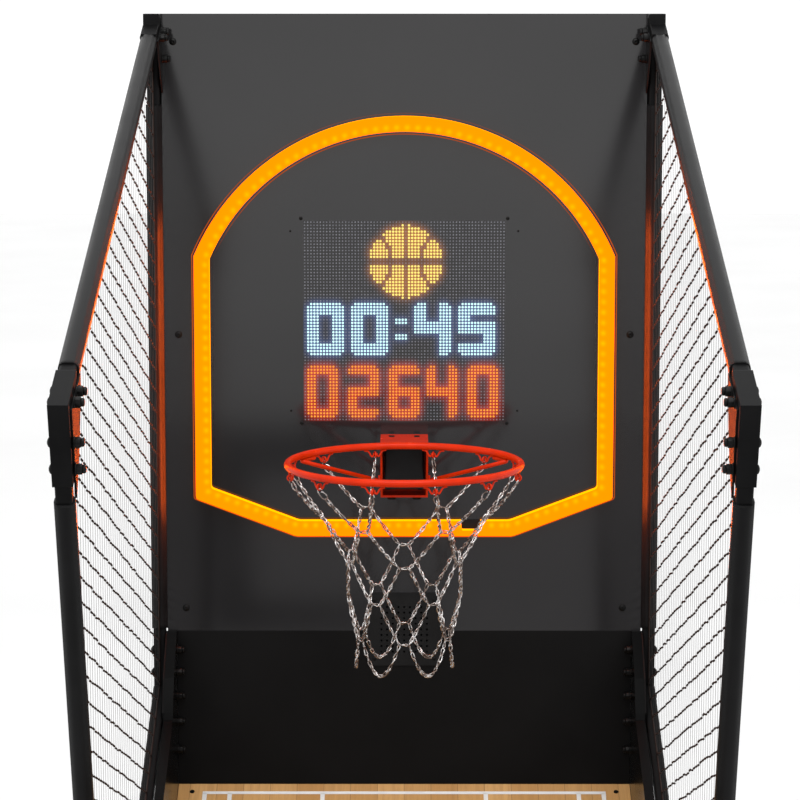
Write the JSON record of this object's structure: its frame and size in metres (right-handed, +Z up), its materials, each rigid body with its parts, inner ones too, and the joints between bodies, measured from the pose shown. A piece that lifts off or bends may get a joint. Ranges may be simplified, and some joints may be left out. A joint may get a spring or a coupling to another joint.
{
  "type": "basketball hoop machine",
  "caption": "Arcade basketball machine: netted side frames, a hoop with a chain net on a dark lit backboard panel, and a sloping court that rolls the balls back.",
  "frame": {"origin": "on the floor under the middle of the machine", "axes": "+X to the player's right, +Y towards the back panel, +Z up"},
  "size_m": [0.983, 1.893, 2.6],
  "materials": {
    "black_steel": "satin",
    "sleeve_plastic": "satin",
    "black_fastener": "satin",
    "hoop_paint": "gloss",
    "net_cord": "matte",
    "chain_steel": "polished",
    "smoked_acrylic": "gloss",
    "cabinet_board": "matte",
    "gloss_laminate": "gloss",
    "lit_diffuser": "matte",
    "lamp_strip": "matte",
    "display_black": "matte",
    "black_plastic": "satin",
    "court_wood": "satin",
    "button_orange": "gloss",
    "foot_rubber": "matte",
    "bare_steel": "brushed",
    "circuit_green": "satin"
  },
  "bodies": {
    "cabinet": {"back_panel": "smoked_acrylic", "backing_board": "cabinet_board", "ball_tray": "court_wood", "base_board": "cabinet_board", "button_bezel": "black_plastic", "chain_net": "chain_steel", "control_board": "circuit_green", "display_module": "display_black", "frame_bolts": "black_fastener", "frame_nuts": "black_fastener", "front_panel": "gloss_laminate", "hoop_bolts": "black_fastener", "hoop_braces": "hoop_paint", "hoop_bracket": "hoop_paint", "hoop_ring": "hoop_paint", "kick_panel": "cabinet_board", "led_diffuser": "lit_diffuser", "led_strip": "lamp_strip", "left_back_post": "black_steel", "left_back_sleeve": "sleeve_plastic", "left_diagonal_sleeve": "sleeve_plastic", "left_diagonal_tube": "black_steel", "left_front_post": "black_steel", "left_front_sleeve": "sleeve_plastic", "left_gusset_plates": "black_steel", "left_knee_bracket": "black_steel", "left_side_net": "net_cord", "left_side_panel": "gloss_laminate", "left_side_rail": "black_steel", "left_top_bracket": "black_steel", "net_hooks": "hoop_paint", "panel_screws": "black_fastener", "playfield": "court_wood", "playfield_screws": "black_fastener", "power_inlet": "black_plastic", "power_supply": "bare_steel", "rear_cover": "black_steel", "right_back_post": "black_steel", "right_back_sleeve": "sleeve_plastic", "right_diagonal_sleeve": "sleeve_plastic", "right_diagonal_tube": "black_steel", "right_front_post": "black_steel", "right_front_sleeve": "sleeve_plastic", "right_gusset_plates": "black_steel", "right_knee_bracket": "black_steel", "right_side_net": "net_cord", "right_side_panel": "gloss_laminate", "right_side_rail": "black_steel", "right_top_bracket": "black_steel", "sensor_housing": "black_plastic", "small_screws": "black_fastener", "speaker": "black_plastic", "speaker_grille": "black_plastic"},
    "gate": {"ball_gate": "black_steel"},
    "button": {"start_button": "button_orange"},
    "rocker": {"power_rocker": "black_plastic"},
    "rear_left_foot": {"rear_left_foot": "foot_rubber"},
    "rear_right_foot": {"rear_right_foot": "foot_rubber"},
    "front_left_foot": {"front_left_foot": "foot_rubber"},
    "front_right_foot": {"front_right_foot": "foot_rubber"}
  },
  "joints": [
    {"name": "gate_swing", "type": "hinge", "parent": "cabinet", "child": "gate", "pos_m": [0, -0.422, 0.77788], "axis": [-1, 0, 0], "range_deg": [0, 75]},
    {"name": "start_press", "type": "slide", "parent": "cabinet", "child": "button", "axis": [0, 1, 0], "range_m": [0, 0.004], "stiffness_N_per_m": 400},
    {"name": "power_switch", "type": "hinge", "parent": "cabinet", "child": "rocker", "pos_m": [0.317, 0.943, 0.3], "axis": [1, 0, 0], "range_deg": [0, 16]},
    {"name": "rear_left_foot_turn", "type": "hinge", "parent": "cabinet", "child": "rear_left_foot", "pos_m": [-0.427, 0.869, 0.069], "axis": [0, 0, 1], "continuous": true},
    {"name": "rear_right_foot_turn", "type": "hinge", "parent": "cabinet", "child": "rear_right_foot", "pos_m": [0.427, 0.869, 0.069], "axis": [0, 0, 1], "continuous": true},
    {"name": "front_left_foot_turn", "type": "hinge", "parent": "cabinet", "child": "front_left_foot", "pos_m": [-0.427, -0.869, 0.069], "axis": [0, 0, 1], "continuous": true},
    {"name": "front_right_foot_turn", "type": "hinge", "parent": "cabinet", "child": "front_right_foot", "pos_m": [0.427, -0.869, 0.069], "axis": [0, 0, 1], "continuous": true}
  ]
}
